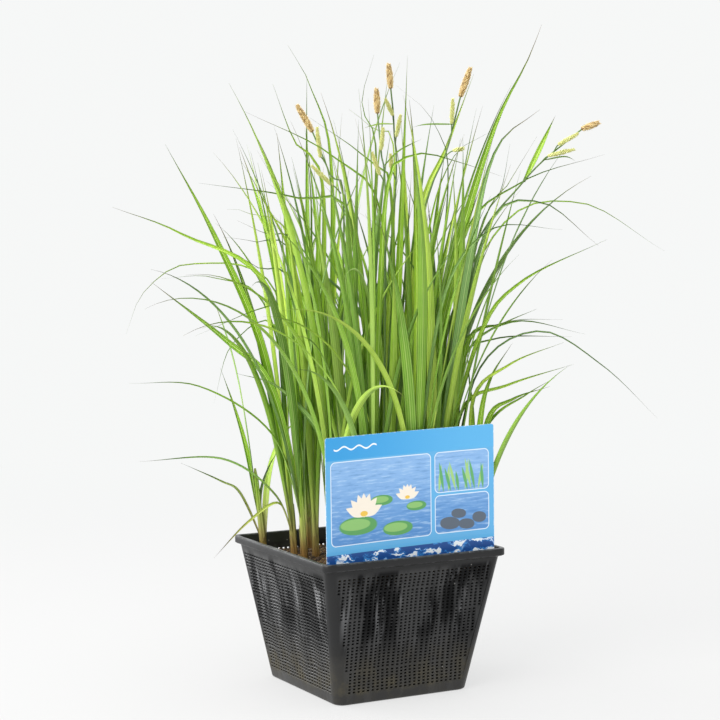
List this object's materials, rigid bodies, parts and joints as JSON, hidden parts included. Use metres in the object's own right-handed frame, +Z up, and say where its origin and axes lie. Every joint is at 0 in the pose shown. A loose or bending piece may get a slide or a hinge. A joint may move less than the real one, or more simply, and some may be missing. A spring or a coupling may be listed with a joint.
{
  "type": "potted carex sedge",
  "caption": "Tall sedge with narrow keeled leaves and brown flower spikes, growing in a square perforated pond basket with a plant label standing in the soil.",
  "frame": {"origin": "centre of the basket's flat foot, on the ground", "axes": "+Z up the plant; the label stands along the basket's -Y side and faces -Y; +X is to the right of someone who faces the label"},
  "size_m": [0.492, 0.4247, 0.602],
  "materials": {
    "basket_plastic": "satin",
    "potting_soil": "matte",
    "label_card": "satin",
    "leaf": "satin",
    "stem": "satin",
    "male_spike": "matte",
    "female_spike": "matte"
  },
  "bodies": {
    "root": {"culm_1": "stem", "culm_2": "stem", "culm_3": "stem", "culm_4": "stem", "culm_5": "stem", "female_spike_1a": "female_spike", "female_spike_1b": "female_spike", "female_spike_2a": "female_spike", "female_spike_2b": "female_spike", "female_spike_3a": "female_spike", "female_spike_3b": "female_spike", "female_spike_3c": "female_spike", "female_spike_4a": "female_spike", "female_spike_4b": "female_spike", "female_spike_5a": "female_spike", "female_spike_5b": "female_spike", "male_spike_1": "male_spike", "male_spike_2": "male_spike", "male_spike_3": "male_spike", "male_spike_4": "male_spike", "male_spike_5": "male_spike", "plant_label": "label_card", "pond_basket": "basket_plastic", "potting_soil": "potting_soil", "shoot_back_a": "leaf", "shoot_back_b": "leaf", "shoot_back_c": "leaf", "shoot_corner": "leaf", "shoot_front_a": "leaf", "shoot_front_b": "leaf", "shoot_front_c": "leaf", "shoot_front_d": "leaf", "shoot_left_a": "leaf", "shoot_left_b": "leaf", "shoot_left_c": "leaf", "shoot_left_d": "leaf", "shoot_mid_a": "leaf", "shoot_mid_b": "leaf", "shoot_mid_c": "leaf", "shoot_mid_d": "leaf", "shoot_mid_e": "leaf", "shoot_mid_f": "leaf", "shoot_right_a": "leaf", "shoot_right_b": "leaf", "shoot_right_c": "leaf", "shoot_right_d": "leaf"}
  },
  "joints": []
}
